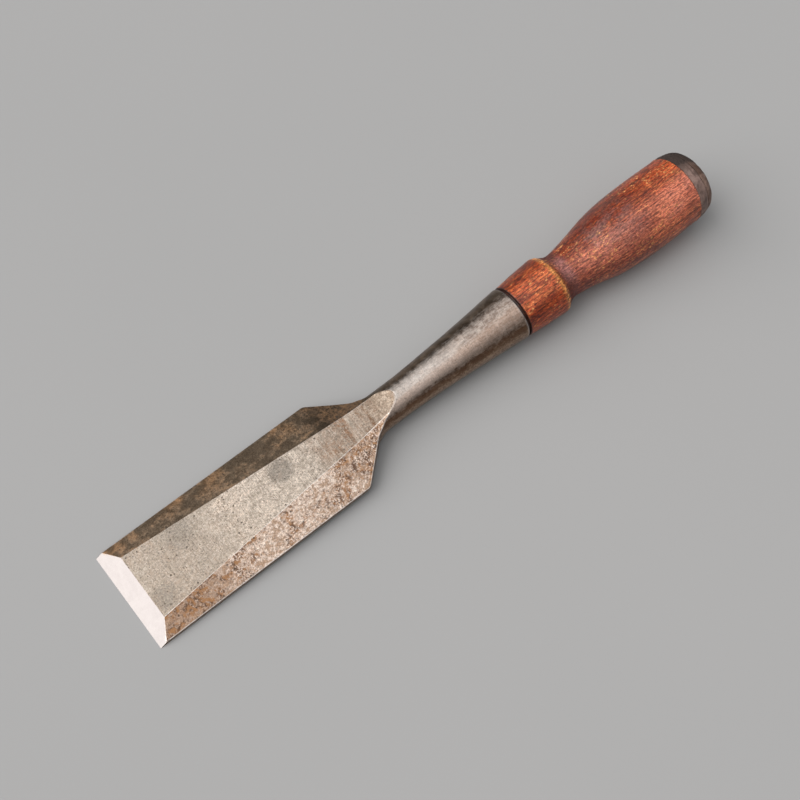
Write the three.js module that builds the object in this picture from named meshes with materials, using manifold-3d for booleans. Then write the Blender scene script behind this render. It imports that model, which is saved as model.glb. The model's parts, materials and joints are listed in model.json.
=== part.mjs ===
// A 50.8 mm bevel-edge socket chisel: one steel forging, a turned wooden handle and two leather washers.
//
// Everything is modelled in the blade's frame, in millimetres: the flat back lies in z = 0, the cutting
// edge lies along Y at x = 0, and +X runs towards the handle. The last lines lay the tool down on its
// cutting edge and on the belly of its handle, with the middle of its box over the origin.
import * as THREE from "three";
import { mergeVertices } from "three/addons/utils/BufferGeometryUtils.js";
import Module from "manifold-3d";

const wasm = await Module();
wasm.setup();

// ---- Driving dimensions, millimetres and degrees ----

// Blade
const BLADE_WIDTH = 50.8;
const SHOULDER_AT = 113.3; // cutting edge to the shoulder corners
const SHOULDER_SLOPE = 0.88; // half width lost for each millimetre past the shoulder corners
const EDGE_ANGLE = 29.8; // of the cutting bevel
const HEEL_THICKNESS = 5.1; // where the cutting bevel meets the land
const THICKNESS_GAIN = 0.03; // for each millimetre from the heel towards the neck
const SIDE_WALL = 2.05; // square edge left under the side bevels
const HEEL_LAND_WIDTH = 33.8; // the land is the flat strip between the side bevels
const LAND_NARROWING = 0.172; // land width lost for each millimetre
const RUNOUT_AT = 120; // where the ground faces start to sweep up towards the neck
const RUNOUT_RADIUS = 88;

// Neck and socket, round about an axis that climbs slightly from the plane of the back
const AXIS_HEIGHT = 2.6; // under the cutting edge
const AXIS_TILT = 0.7;
const NECK_FROM = 117; // where the round neck starts to grow inside the blade
const NECK_FULL = 134;
const NECK_RADIUS = 9.15;
const CONE_FROM = 152;
const CONE_POWER = 1.3; // the cone flares a little like a trumpet
const RIM_AT = 217.4;
const RIM_RADIUS = 13.7;
const RIM_ROUNDING = 0.5;
const NECK_FILLET = 5; // reach of the soft blend between blade and neck
const BORE_MOUTH_RADIUS = 12.1;
const BORE_FLOOR_RADIUS = 7;
const BORE_FLOOR_AT = 168;
const BORE_TIP_AT = 163; // point of the floor's cone

// Handle
const FIT_GAP = 0.3; // between nested or touching pieces
const SHOULDER_GAP = 1.5; // between the socket's rim and the handle's shoulder
const TENON_TIP_AT = 172;
const TENON_CHAMFER = 0.6;
const HANDLE_SHOULDER_RADIUS = 13.6;
const COLLAR_AT = 240;
const COLLAR_RADIUS = 15.35;
const WAIST_AT = 249.5;
const WAIST_RADIUS = 11.9;
const BELLY_AT = 307;
const BELLY_RADIUS = 18.4;
const HANDLE_END_AT = 323.5;
const HANDLE_END_RADIUS = 18.15;
const HANDLE_CHAMFER = 0.4;
const WASHER_TENON_RADIUS = 6.5;
const COLLAR_SWELL = [0.45, 14.65]; // share of the way from the shoulder to the collar, and radius there
const COLLAR_CREST = [
  // distance past the collar, and how far inside its radius
  [-1.2, 0.1],
  [0, 0],
  [1, 0.15],
];
const COLLAR_EDGE = [
  // the same, down into the cove
  [2, 0.55],
  [4.3, 2.05],
];
const BELLY_SWELL = [
  // share of the way from the waist to the belly, and radius there
  [0.22, 13.9],
  [0.45, 16.7],
  [0.7, 18.15],
];

// Leather washers
const WASHER_THICKNESS = 5.5;
const WASHER_SEAM_RADIUS = 17.25; // where the two washers meet
const WASHER_BULGE = 0.15; // of the inner washer's rim
const WASHER_ROUNDING = 0.4;
const CAP_FLAT_RADIUS = 11; // of the struck end
const TENON_RECESS = 0.4; // of the wood below the struck end

// Fineness
const ROUND_SEGMENTS = 40;
const COVE_POINTS = 22;
const EDGE_POINTS = 8; // of the outer washer's worn edge
const SEGMENTS = { back: 6, wall: 5, bevel: 6, land: 4 }; // of half a section of the forging
const STATIONS = { blade: 5, neck: 20, cone: 9 };
const ROUND_STEPS = [0.36, 0.62, 0.82]; // shares of half a turn, in place of the arrises on the round neck
const ARRIS_FADE = 12; // length over which an arris fades to an even step
const FADE_LEAD = { wall: 4, land: 2 }; // how far ahead of the round neck and of the cone the fades start
const LEAST_STEP = 0.12; // radians between the top of the side wall and the edge of the land
const CLEAR = 10; // by which a cutting block is larger than what it cuts
const DEGREE = Math.PI / 180;

// ---- Small helpers ----

const HALF_WIDTH = BLADE_WIDTH / 2;
const AXIS_SLOPE = Math.tan(AXIS_TILT * DEGREE);
const clamp01 = (t) => Math.min(1, Math.max(0, t));
const mix = (a, b, t) => a + (b - a) * t;
const smoothstep = (t) => clamp01(t) ** 2 * (3 - 2 * clamp01(t));

// The larger of two lengths, with a soft blend where they are within reach of each other.
function softMax(a, b, reach) {
  const near = Math.max(reach - Math.abs(a - b), 0) / reach;
  return Math.max(a, b) + (near * near * reach) / 4;
}

function solidOf(geometry) {
  const bare = geometry.clone();
  bare.deleteAttribute("normal");
  bare.deleteAttribute("uv");
  const merged = mergeVertices(bare, 1e-4);
  return new wasm.Manifold(
    new wasm.Mesh({
      numProp: 3,
      vertProperties: new Float32Array(merged.attributes.position.array),
      triVerts: new Uint32Array(merged.index.array),
    }),
  );
}

function geometryOf(solid) {
  const made = solid.getMesh();
  const geometry = new THREE.BufferGeometry();
  geometry.setAttribute("position", new THREE.BufferAttribute(made.vertProperties, 3));
  geometry.setIndex(new THREE.BufferAttribute(made.triVerts, 1));
  geometry.computeVertexNormals();
  return geometry;
}

// Turns a profile of [distance along the handle's axis, radius] into a solid about that axis, which
// starts under the cutting edge at the axis height and climbs at the axis tilt.
function turned(profile) {
  const points = profile.map(([along, radius]) => new THREE.Vector2(Math.max(radius, 0), along));
  const geometry = new THREE.LatheGeometry(points, ROUND_SEGMENTS);
  geometry.rotateZ(-Math.PI / 2);
  geometry.rotateY(-AXIS_TILT * DEGREE);
  geometry.translate(0, 0, AXIS_HEIGHT);
  return geometry;
}

// ---- Blade, neck and socket ----

const axisHeight = (x) => AXIS_HEIGHT + AXIS_SLOPE * x;

// How far the ground faces have swept up above their straight run.
function runout(x) {
  const past = Math.max(x - RUNOUT_AT, 0);
  return (past * past) / (2 * RUNOUT_RADIUS);
}

const HEEL_AT = HEEL_THICKNESS / Math.tan(EDGE_ANGLE * DEGREE);
const landHeight = (x) => HEEL_THICKNESS + THICKNESS_GAIN * (x - HEEL_AT) + runout(x);
const landHalfWidth = (x) => (HEEL_LAND_WIDTH - LAND_NARROWING * (x - HEEL_AT)) / 2;

// Half width of the flat-backed slab: parallel to the shoulder corners, then straight in to the neck.
function slabHalfWidth(x) {
  const past = Math.max(x - SHOULDER_AT, 0);
  return Math.max(HALF_WIDTH - SHOULDER_SLOPE * past, 0);
}

function neckRadius(x) {
  if (x < NECK_FULL) {
    return NECK_RADIUS * smoothstep((x - NECK_FROM) / (NECK_FULL - NECK_FROM));
  }
  const along = clamp01((x - CONE_FROM) / (RIM_AT - CONE_FROM));
  return NECK_RADIUS + (RIM_RADIUS - NECK_RADIUS) * along ** CONE_POWER;
}

// Reach of the forging from its axis in a direction given by an angle: 0 is straight down, PI straight up.
// The forged blank is the slab blended with the round neck, and the ground faces cut it afterwards.
function blankReach(x, angle) {
  const sideways = Math.max(Math.sin(angle), 1e-9);
  const downwards = Math.cos(angle);
  const slabSide = slabHalfWidth(x) / sideways;
  const slabBack = downwards > 1e-9 ? axisHeight(x) / downwards : Infinity;
  const slab = slabHalfWidth(x) > 0 ? Math.min(slabSide, slabBack, BLADE_WIDTH) : 0;
  const neck = neckRadius(x);
  return neck > 0 ? softMax(slab, neck, NECK_FILLET) : slab;
}

function bevelReach(x, angle) {
  const land = landHalfWidth(x);
  const fall = (landHeight(x) - runout(x) - SIDE_WALL) / (HALF_WIDTH - land);
  const above = landHeight(x) - axisHeight(x) + fall * land;
  const across = -Math.cos(angle) + fall * Math.sin(angle);
  return across > 1e-9 ? above / across : Infinity;
}

function landReach(x, angle) {
  const upwards = -Math.cos(angle);
  return upwards > 1e-9 ? (landHeight(x) - axisHeight(x)) / upwards : Infinity;
}

const forgingReach = (x, angle) => Math.min(blankReach(x, angle), bevelReach(x, angle), landReach(x, angle));

// The angle between low and high where a function of the angle changes sign.
function crossing(low, high, test) {
  const below = test(low) < 0;
  for (let i = 0; i < 40; i++) {
    const middle = (low + high) / 2;
    if (test(middle) < 0 === below) {
      low = middle;
    } else {
      high = middle;
    }
  }
  return (low + high) / 2;
}

// Angles of the arrises of one section, from straight down to straight up: the back's corner, the top of
// the side wall and the edge of the land. On the round neck they fade to even steps.
function arrisAngles(x) {
  const backCorner = Math.atan2(slabHalfWidth(x), axisHeight(x));
  const landEdge = crossing(Math.PI / 2, Math.PI - 0.05, (a) => {
    return landReach(x, a) - Math.min(bevelReach(x, a), blankReach(x, a));
  });
  const wallTop = crossing(backCorner, landEdge, (a) => bevelReach(x, a) - blankReach(x, a));
  const neckFade = smoothstep((x - NECK_FULL + FADE_LEAD.wall) / ARRIS_FADE);
  const coneFade = smoothstep((x - CONE_FROM + FADE_LEAD.land) / ARRIS_FADE);
  return [
    mix(backCorner, ROUND_STEPS[0] * Math.PI, neckFade),
    mix(Math.min(wallTop, landEdge - LEAST_STEP), ROUND_STEPS[1] * Math.PI, neckFade),
    mix(landEdge, ROUND_STEPS[2] * Math.PI, coneFade),
  ];
}

function sectionAngles(x) {
  const [backCorner, wallTop, landEdge] = arrisAngles(x);
  const stretches = [
    [0, backCorner, SEGMENTS.back],
    [backCorner, wallTop, SEGMENTS.wall],
    [wallTop, landEdge, SEGMENTS.bevel],
    [landEdge, Math.PI, SEGMENTS.land],
  ];
  const half = stretches.flatMap(([from, to, count]) =>
    Array.from({ length: count }, (_, i) => mix(from, to, i / count)),
  );
  half.push(Math.PI);
  const mirrored = half.slice(1, -1).reverse().map((a) => -a);
  return half.concat(mirrored);
}

// One closed ring of points. The rings lean with the axis once the section is round.
function section(x) {
  const lean = AXIS_SLOPE * smoothstep((x - NECK_FULL) / (CONE_FROM - NECK_FULL));
  const rounding = x > RIM_AT - RIM_ROUNDING ? x - (RIM_AT - RIM_ROUNDING) : 0;
  return sectionAngles(x).map((angle) => {
    const reach = forgingReach(x, Math.abs(angle)) - rounding;
    const up = -reach * Math.cos(angle);
    return [x - up * lean, reach * Math.sin(angle), axisHeight(x) + up];
  });
}

function steps(from, to, count) {
  return Array.from({ length: count }, (_, i) => mix(from, to, i / count));
}

function forging() {
  const stations = [
    ...steps(0, SHOULDER_AT, STATIONS.blade),
    ...steps(SHOULDER_AT, CONE_FROM, STATIONS.neck),
    ...steps(CONE_FROM, RIM_AT - RIM_ROUNDING, STATIONS.cone),
    RIM_AT - RIM_ROUNDING,
    RIM_AT,
  ];
  const rings = stations.map(section);
  const around = rings[0].length;
  const vertices = rings.flat();
  const first = vertices.length;
  vertices.push([0, 0, axisHeight(0)], [RIM_AT, 0, axisHeight(RIM_AT)]);
  const triangles = [];
  for (let j = 0; j < around; j++) {
    const next = (j + 1) % around;
    for (let i = 0; i + 1 < rings.length; i++) {
      const a = i * around + j;
      const b = i * around + next;
      triangles.push(a, b, a + around, b, b + around, a + around);
    }
    const last = (rings.length - 1) * around;
    triangles.push(first, next, j, first + 1, last + j, last + next);
  }
  const geometry = new THREE.BufferGeometry();
  geometry.setAttribute("position", new THREE.Float32BufferAttribute(vertices.flat(), 3));
  geometry.setIndex(triangles);
  return geometry;
}

// Everything above the cutting bevel: a block that stands on the bevel's plane and is wider than the blade.
function aboveCuttingBevel() {
  const size = BLADE_WIDTH + CLEAR;
  const block = new THREE.BoxGeometry(size, size, size);
  block.translate(0, 0, size / 2);
  block.rotateY(-EDGE_ANGLE * DEGREE);
  return block;
}

// The bore's straight taper, which carries on past the rim.
function boreRadius(along) {
  const share = (along - BORE_FLOOR_AT) / (RIM_AT - BORE_FLOOR_AT);
  return mix(BORE_FLOOR_RADIUS, BORE_MOUTH_RADIUS, share);
}

function bore() {
  const end = RIM_AT + CLEAR;
  return turned([
    [BORE_TIP_AT, 0],
    [BORE_FLOOR_AT, BORE_FLOOR_RADIUS],
    [end, boreRadius(end)],
    [end, 0],
  ]);
}

const steel = solidOf(forging()).subtract(solidOf(aboveCuttingBevel())).subtract(solidOf(bore()));

// ---- Handle ----

function handle() {
  const shoulderAt = RIM_AT + SHOULDER_GAP;
  const capAt = HANDLE_END_AT + 2 * WASHER_THICKNESS - TENON_RECESS;
  const onCollar = ([past, inside]) => [COLLAR_AT + past, COLLAR_RADIUS - inside];
  const crest = COLLAR_CREST.map(onCollar);
  const cove = new THREE.SplineCurve(
    [
      crest.at(-1),
      ...COLLAR_EDGE.map(onCollar),
      [WAIST_AT, WAIST_RADIUS],
      ...BELLY_SWELL.map(([share, radius]) => [mix(WAIST_AT, BELLY_AT, share), radius]),
      [BELLY_AT, BELLY_RADIUS],
      [HANDLE_END_AT - HANDLE_CHAMFER, HANDLE_END_RADIUS],
    ].map(([along, radius]) => new THREE.Vector2(along, radius)),
  );
  return turned([
    [TENON_TIP_AT, 0],
    [TENON_TIP_AT, boreRadius(TENON_TIP_AT) - FIT_GAP - TENON_CHAMFER],
    [TENON_TIP_AT + TENON_CHAMFER, boreRadius(TENON_TIP_AT + TENON_CHAMFER) - FIT_GAP],
    [shoulderAt, boreRadius(shoulderAt) - FIT_GAP],
    [shoulderAt, HANDLE_SHOULDER_RADIUS - HANDLE_CHAMFER],
    [shoulderAt + HANDLE_CHAMFER, HANDLE_SHOULDER_RADIUS],
    [mix(shoulderAt, COLLAR_AT, COLLAR_SWELL[0]), COLLAR_SWELL[1]],
    ...crest,
    ...cove.getPoints(COVE_POINTS).slice(1).map((p) => [p.x, p.y]),
    [HANDLE_END_AT, HANDLE_END_RADIUS - HANDLE_CHAMFER],
    [HANDLE_END_AT, WASHER_TENON_RADIUS],
    [capAt, WASHER_TENON_RADIUS],
    [capAt, 0],
  ]);
}

// ---- Leather washers ----

function washer(from, to, outline) {
  const hole = WASHER_TENON_RADIUS + FIT_GAP;
  return turned([[from, hole], ...outline, [to, hole], [from, hole]]);
}

function innerWasher() {
  const from = HANDLE_END_AT + FIT_GAP;
  const to = HANDLE_END_AT + WASHER_THICKNESS;
  return washer(from, to, [
    [from, HANDLE_END_RADIUS - WASHER_ROUNDING],
    [from + WASHER_ROUNDING, HANDLE_END_RADIUS],
    [mix(from, to, 0.5), mix(HANDLE_END_RADIUS, WASHER_SEAM_RADIUS, 0.5) + WASHER_BULGE],
    [to - WASHER_ROUNDING, WASHER_SEAM_RADIUS],
    [to, WASHER_SEAM_RADIUS - WASHER_ROUNDING],
  ]);
}

// The outer washer's edge is worn to a quarter of an ellipse down to the struck end.
function outerWasher() {
  const from = HANDLE_END_AT + WASHER_THICKNESS + FIT_GAP;
  const to = HANDLE_END_AT + 2 * WASHER_THICKNESS;
  const edge = Array.from({ length: EDGE_POINTS }, (_, i) => {
    const turn = (Math.PI / 2) * (i / (EDGE_POINTS - 1));
    const along = from + WASHER_ROUNDING + (to - from - WASHER_ROUNDING) * Math.sin(turn);
    return [along, CAP_FLAT_RADIUS + (WASHER_SEAM_RADIUS - CAP_FLAT_RADIUS) * Math.cos(turn)];
  });
  return washer(from, to, [[from, WASHER_SEAM_RADIUS - WASHER_ROUNDING], ...edge]);
}

// ---- Assembly ----

function finish(color, roughness, metalness) {
  return new THREE.MeshStandardMaterial({ color, roughness, metalness });
}

function piece(name, geometry, material) {
  const mesh = new THREE.Mesh(geometry, material);
  mesh.name = name;
  return mesh;
}

const tool = new THREE.Group();
tool.add(
  piece("blade_and_socket", geometryOf(steel), finish(0xa79c90, 0.38, 1)),
  piece("handle", handle(), finish(0xb5623c, 0.45, 0)),
  piece("leather_washer_inner", innerWasher(), finish(0x4c4643, 0.7, 0)),
  piece("leather_washer_outer", outerWasher(), finish(0x58402f, 0.75, 0)),
);

// The steepest slope from the cutting edge down to any point of a mesh, in the blade's frame.
function slopeUnder(mesh) {
  const points = mesh.geometry.attributes.position;
  let steepest = 0;
  for (let i = 0; i < points.count; i++) {
    steepest = Math.max(steepest, Math.atan2(-points.getZ(i), points.getX(i)));
  }
  return steepest;
}

// The tool lies on its cutting edge and on the belly of its handle.
tool.rotation.y = -Math.max(...tool.children.map(slopeUnder));

const chisel = new THREE.Group();
chisel.add(tool);
chisel.updateMatrixWorld(true);
const box = new THREE.Box3().setFromObject(chisel, true);
const middle = box.getCenter(new THREE.Vector3());
tool.position.set(-middle.x, -middle.y, -box.min.z);

export default chisel;
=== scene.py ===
"""Looks for the bevel-edge socket chisel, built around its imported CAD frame.

Shapes are worked out in millimetres in the blade's own frame: the flat back lies in z = 0, the cutting edge
lies along Y at x = 0, and +X runs towards the handle. PLACE_BLADE and PLACE_AXIS put them into the frame.
"""
import json
import math

import bmesh
import bpy
import numpy as np
from mathutils import Matrix, Vector, noise


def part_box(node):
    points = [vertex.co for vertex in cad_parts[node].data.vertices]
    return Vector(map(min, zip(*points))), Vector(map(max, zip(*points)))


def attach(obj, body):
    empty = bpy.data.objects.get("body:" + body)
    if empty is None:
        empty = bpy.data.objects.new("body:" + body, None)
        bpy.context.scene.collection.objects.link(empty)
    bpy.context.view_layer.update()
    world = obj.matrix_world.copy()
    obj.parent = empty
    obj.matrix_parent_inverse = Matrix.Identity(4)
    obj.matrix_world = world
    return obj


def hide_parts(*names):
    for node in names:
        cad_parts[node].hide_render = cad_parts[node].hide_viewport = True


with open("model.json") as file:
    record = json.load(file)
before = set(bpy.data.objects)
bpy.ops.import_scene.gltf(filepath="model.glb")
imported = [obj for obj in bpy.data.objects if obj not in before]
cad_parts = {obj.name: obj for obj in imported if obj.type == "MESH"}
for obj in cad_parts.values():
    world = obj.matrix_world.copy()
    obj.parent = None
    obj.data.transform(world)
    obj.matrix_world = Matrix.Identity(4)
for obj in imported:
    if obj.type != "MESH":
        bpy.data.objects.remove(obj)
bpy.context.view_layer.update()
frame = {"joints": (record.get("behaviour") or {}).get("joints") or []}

MM = 0.001
UP = math.pi  # the angle round a section, counted from straight down, that points straight up

# ---- Sizes in millimetres: the CAD model's own ----

BLADE_WIDTH = 50.8
HALF_WIDTH = BLADE_WIDTH / 2
SHOULDER_AT = 113.3
SHOULDER_SLOPE = 0.88
EDGE_SLOPE = math.tan(math.radians(29.8))
HEEL_THICKNESS = 5.1
HEEL_AT = HEEL_THICKNESS / EDGE_SLOPE
THICKNESS_GAIN = 0.03
SIDE_WALL = 2.05
HEEL_LAND_WIDTH = 33.8
LAND_NARROWING = 0.172
RUNOUT_AT = 120.0
RUNOUT_RADIUS = 88.0
AXIS_HEIGHT = 2.6
AXIS_TILT = math.radians(0.7)
NECK_FROM = 117.0
NECK_FULL = 134.0
NECK_RADIUS = 9.15
CONE_FROM = 152.0
CONE_POWER = 1.3
RIM_AT = 217.4
RIM_RADIUS = 13.7
RIM_ROUNDING = 0.5
NECK_FILLET = 5.0
ARRIS_SHARES = (0.36, 0.62, 0.82)  # of half a turn, in place of the arrises on the round neck
NECK_FADE_FROM = NECK_FULL - 4.0
CONE_FADE_FROM = CONE_FROM - 2.0
ARRIS_FADE = 12.0
BORE_MOUTH_RADIUS = 12.1
BORE_FLOOR_RADIUS = 7.0
BORE_FLOOR_AT = 168.0
BORE_TIP_AT = 163.0

FIT_GAP = 0.3
SHOULDER_GAP = 1.5
TENON_TIP_AT = 172.0
HANDLE_SHOULDER_RADIUS = 13.6
COLLAR_AT = 240.0
COLLAR_RADIUS = 15.35
COLLAR_SWELL_RADIUS = 14.65
COLLAR_EDGE = ((2.0, COLLAR_RADIUS - 0.55), (4.3, 13.3))  # past the collar's crest, radius
WAIST_AT = 249.5
WAIST_RADIUS = 11.9
BELLY_SWELL = ((0.22, 13.9), (0.45, 16.7), (0.7, 18.15))  # share of the way to the belly, radius
BELLY_AT = 307.0
BELLY_RADIUS = 18.4
HANDLE_END_AT = 323.5
HANDLE_END_RADIUS = 18.15
WASHER_TENON_RADIUS = 6.5
WASHER_THICKNESS = 5.5
WASHER_SEAM_RADIUS = 17.25
CAP_FLAT_RADIUS = 11.0
TENON_RECESS = 0.4

# ---- Finer shape and wear than the CAD model's, in millimetres unless noted ----

CUTTING_EDGE_AT = 0.06  # the first section, just behind the edge itself
SHOULDER_ROUNDING = 1.2
BACK_EDGE_ROUNDING = 0.25
LEAST_STRIP = 0.03  # in radians, between the top of the wall and the land's edge
BORE_TIP_RADIUS = 0.4
LIP_CHAMFER = 0.25
HEEL_WEAR = 0.02
ARRIS_WEAR = 0.10
ARRIS_WAVES = 0.05
WALL_WEAR = 1.6  # times the wear of the other arrises
TOUCHING = 0.02  # faces closer than this count as the same face
BEVEL_ARRIS_WIDTH = 0.10
WALL_ARRIS_WIDTH = 0.42
WALL_ARRIS_END = 150.0
LAND_TIP_AT = 132.0  # where the bright outline of the land's rounded end starts to fade
LAND_TIP_FADE = 8.0
# The rim's bright ring: worn metal and a painted highlight.
RIM_BRIGHTNESS = 0.7  # a share of bright metal
FORGED_SWELL = 0.10
FORGED_GRAIN = 0.025
GRINDING_WAVES = 0.012
WOOD_CORNER = 0.45
WOOD_END_CORNER = 0.35
WOOD_SWELL = 0.16
WOOD_DENTS = 0.5
WOOD_RIBS = 0.035
COLLAR_CHIPS = 0.5
WOOD_SHRINKING = 0.12
LEATHER_CORNER = 0.35
LEATHER_LUMPS = 0.16
LEATHER_CREASES = 0.22
LEATHER_SEAM = 0.12
LEATHER_BULGE = 0.2

# ---- Placement, from the frame ----

AXIS = Vector(frame["joints"][0]["axis"])
BLADE_TILT = math.atan2(AXIS.z, AXIS.x) - AXIS_TILT
EDGE_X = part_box("blade_and_socket")[0].x
PLACE_BLADE = Matrix.Translation((EDGE_X, 0, 0)) @ Matrix.Rotation(-BLADE_TILT, 4, "Y")
PLACE_AXIS = (
    PLACE_BLADE
    @ Matrix.Translation((0, 0, AXIS_HEIGHT * MM))
    @ Matrix.Rotation(-AXIS_TILT, 4, "Y")
)


# ---- Small maths ----


def mix(a, b, t):
    return a + (b - a) * t


def smoothstep(t):
    t = np.clip(t, 0, 1)
    return t * t * (3 - 2 * t)


def soft_max(a, b, reach):
    near = np.maximum(reach - np.abs(a - b), 0) / reach
    return np.maximum(a, b) + near * near * reach / 4


def soft_min(a, b, reach):
    near = np.maximum(reach - np.abs(a - b), 0) / reach
    return np.minimum(a, b) - near * near * reach / 4


def eased(count):
    """Shares from 0 up to 1, without 1, closest together at both ends."""
    return 0.5 - 0.5 * np.cos(np.pi * np.arange(count) / count)


# ---- Camera, floor and light ----

CAMERA_TURN = math.radians(38.8)  # from looking along +Y towards +X
CAMERA_ELEVATION = math.radians(63.5)
CAMERA_DISTANCE = 0.5626
CAMERA_LENS = 54.97
AIM_AT = 150.75  # along the blade's frame
AIM_ASIDE = 0.35
HORIZON = 0.40
TENT_TOP = 0.85
TENT_SIDE = 0.24
TENT_BAND = 0.05
TENT_LEAN = 0.14  # how far the tent's bright top leans away from +Y
KEY_STRENGTH = 2.5
TOP_STRENGTH = 0.5
FLOOR_SIZE = 60.0  # in metres


def make_camera():
    data = bpy.data.cameras.new("camera")
    data.lens = CAMERA_LENS
    data.sensor_width = 36
    data.clip_start = 0.01
    data.clip_end = 20
    camera = bpy.data.objects.new("camera", data)
    bpy.context.scene.collection.objects.link(camera)
    look = Vector((
        math.cos(CAMERA_ELEVATION) * math.sin(CAMERA_TURN),
        math.cos(CAMERA_ELEVATION) * math.cos(CAMERA_TURN),
        -math.sin(CAMERA_ELEVATION),
    ))
    target = PLACE_BLADE @ Vector((AIM_AT * MM, AIM_ASIDE * MM, 0))
    camera.location = target - look * CAMERA_DISTANCE
    camera.rotation_euler = look.to_track_quat("-Z", "Y").to_euler()
    bpy.context.scene.camera = camera


def far_light(name, direction, spread, strength, color):
    """A soft light so far off that the floor is lit evenly; spread is the angle it fills, in degrees."""
    data = bpy.data.lights.new(name, "SUN")
    data.angle = math.radians(spread)
    data.energy = strength
    data.color = color
    lamp = bpy.data.objects.new(name, data)
    bpy.context.scene.collection.objects.link(lamp)
    lamp.rotation_euler = Vector(direction).to_track_quat("Z", "Y").to_euler()


def make_world():
    """A soft studio tent: bright overhead, dark in a low band, and as pale as the floor at the horizon."""
    world = bpy.data.worlds.new("world")
    world.use_nodes = True
    tree = world.node_tree
    background = tree.nodes["Background"]
    parts = tree.nodes.new("ShaderNodeSeparateXYZ")
    tree.links.new(tree.nodes.new("ShaderNodeTexCoord").outputs["Generated"], parts.inputs[0])
    lean = tree.nodes.new("ShaderNodeMath")
    lean.operation = "MULTIPLY_ADD"
    lean.inputs[1].default_value = -TENT_LEAN
    tree.links.new(parts.outputs[1], lean.inputs[0])
    tree.links.new(parts.outputs[2], lean.inputs[2])
    ramp = tree.nodes.new("ShaderNodeValToRGB")
    stops = ramp.color_ramp.elements
    tones = (
        (0.0, HORIZON),
        (0.07, HORIZON),
        (0.16, TENT_BAND),
        (0.40, TENT_BAND),
        (0.52, TENT_SIDE),
        (0.72, mix(TENT_SIDE, TENT_TOP, 0.35)),
        (0.94, TENT_TOP),
    )
    while len(stops) < len(tones):
        stops.new(0.5)
    for stop, (at, tone) in zip(stops, tones):
        stop.position = at
        stop.color = (tone, tone, tone, 1)
    tree.links.new(lean.outputs[0], ramp.inputs[0])
    tree.links.new(ramp.outputs[0], background.inputs["Color"])
    background.inputs["Strength"].default_value = 1.0
    bpy.context.scene.world = world
    bpy.context.scene.view_settings.view_transform = "Standard"


def make_lights():
    far_light("key_left", (-0.66, 0.38, 0.65), 68, KEY_STRENGTH, (1.0, 0.985, 0.97))
    far_light("key_top", (-0.45, -0.10, 0.88), 41, TOP_STRENGTH, (1.0, 0.99, 0.98))


# ---- Node graphs ----


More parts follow.
